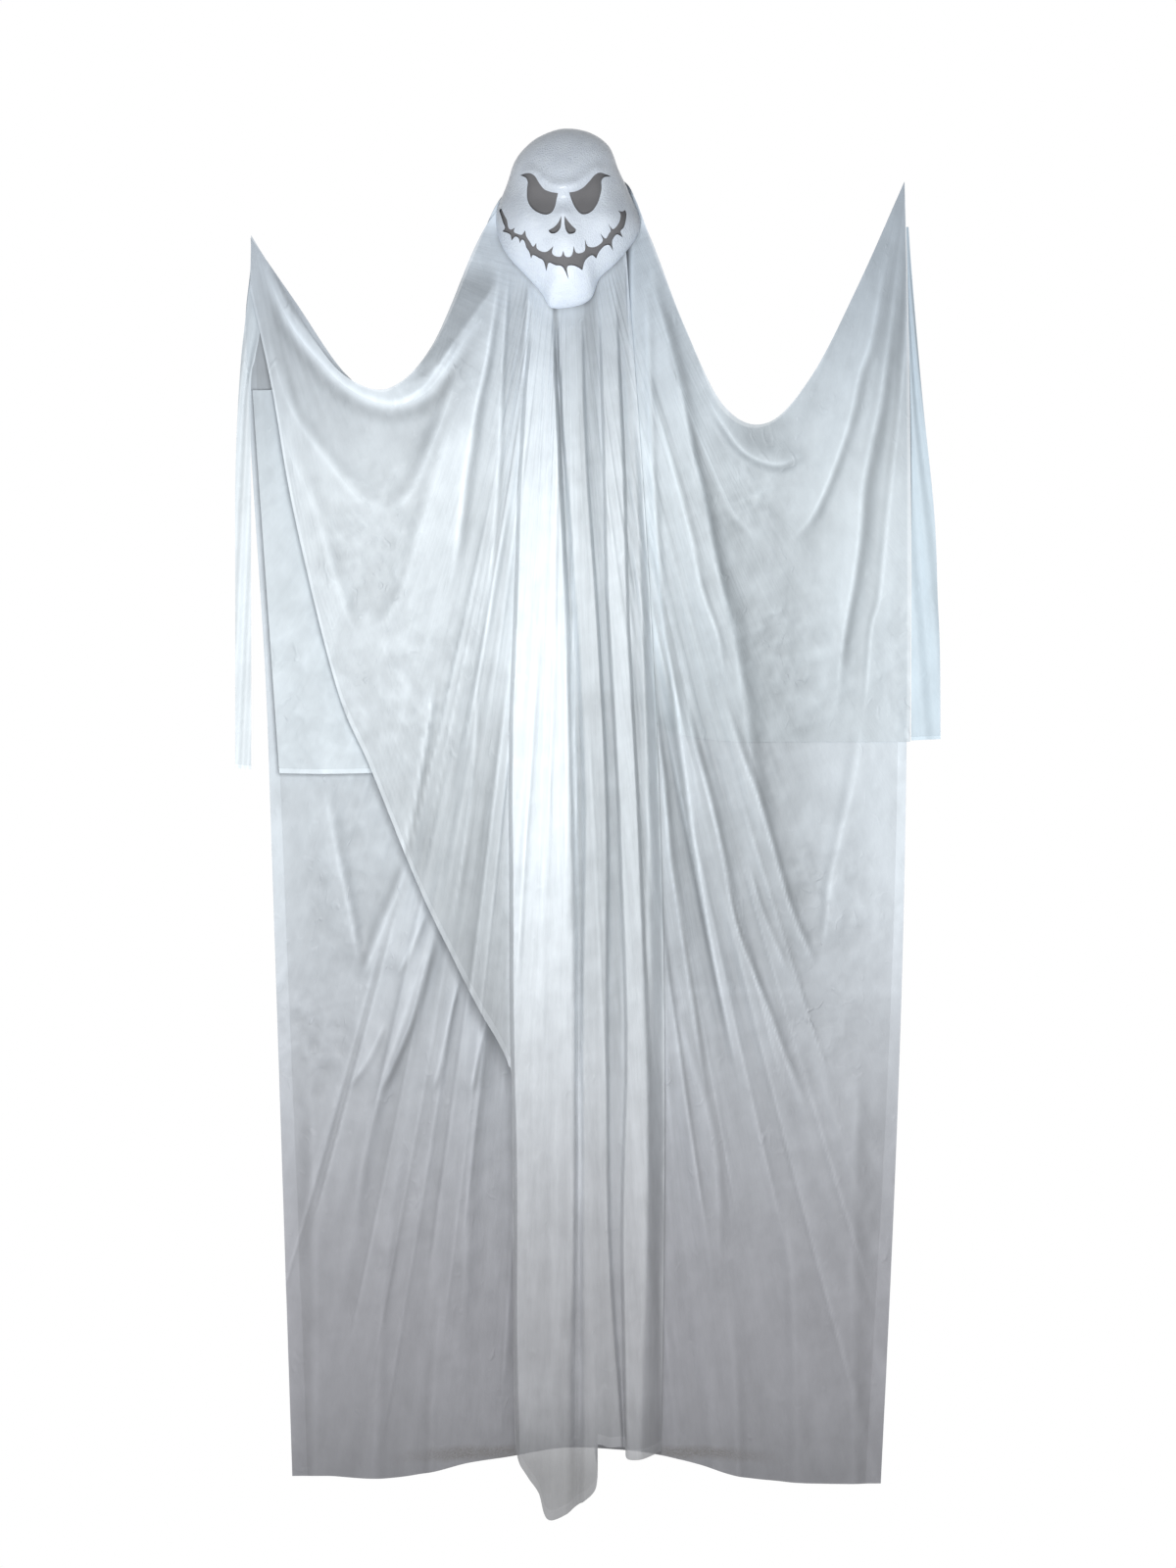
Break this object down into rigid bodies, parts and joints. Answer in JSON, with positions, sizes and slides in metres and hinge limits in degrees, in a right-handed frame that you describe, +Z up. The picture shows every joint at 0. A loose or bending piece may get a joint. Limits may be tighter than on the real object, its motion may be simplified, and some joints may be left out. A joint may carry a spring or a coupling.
{
  "type": "hanging ghost decoration",
  "caption": "Hanging ghost with a moulded grinning mask and layers of sheer white cloth spread between two raised wrists and falling in pleats to a ragged hem.",
  "frame": {"origin": "middle of the hole of the screw eye on the crown, which the decoration hangs by", "axes": "+Z up, the face looks towards -Y, and +X runs to the viewer's right along the spread arms"},
  "size_m": [1.0797, 0.1699, 2.1236],
  "materials": {
    "moulded_white": "glossy",
    "dark_gauze": "matt open weave",
    "glue": "cloudy",
    "foam": "fine beaded",
    "sheer_cloth": "sheer, slightly lustrous",
    "zinc_steel": "zinc plated",
    "white_tape": "woven tape",
    "clear_plastic": "clear"
  },
  "bodies": {
    "ghost": {"face_mask": "moulded_white", "eye_gauze_left": "dark_gauze", "eye_gauze_right": "dark_gauze", "nose_gauze": "dark_gauze", "mouth_gauze": "dark_gauze", "glue_pad_left": "glue", "glue_pad_right": "glue", "head_core": "foam", "hood": "sheer_cloth", "crown_screw_eye": "zinc_steel", "crown_washer": "zinc_steel", "front_drape": "sheer_cloth", "arm_cape": "sheer_cloth", "back_sheet": "sheer_cloth", "cuff_strip_left": "sheer_cloth", "cuff_strip_right": "sheer_cloth", "wrist_tab_left": "white_tape", "wrist_tab_right": "white_tape"},
    "left_ring": {"wrist_ring_left": "clear_plastic"},
    "right_ring": {"wrist_ring_right": "clear_plastic"}
  },
  "joints": [
    {"name": "left_ring_swing", "type": "hinge", "parent": "ghost", "child": "left_ring", "pos_m": [-0.472, -0.0243, -0.21687], "axis": [1, 0, 0], "range_deg": [0, 170]},
    {"name": "right_ring_swing", "type": "hinge", "parent": "ghost", "child": "right_ring", "pos_m": [0.505, -0.0243, -0.13287], "axis": [1, 0, 0], "range_deg": [0, 170]}
  ]
}
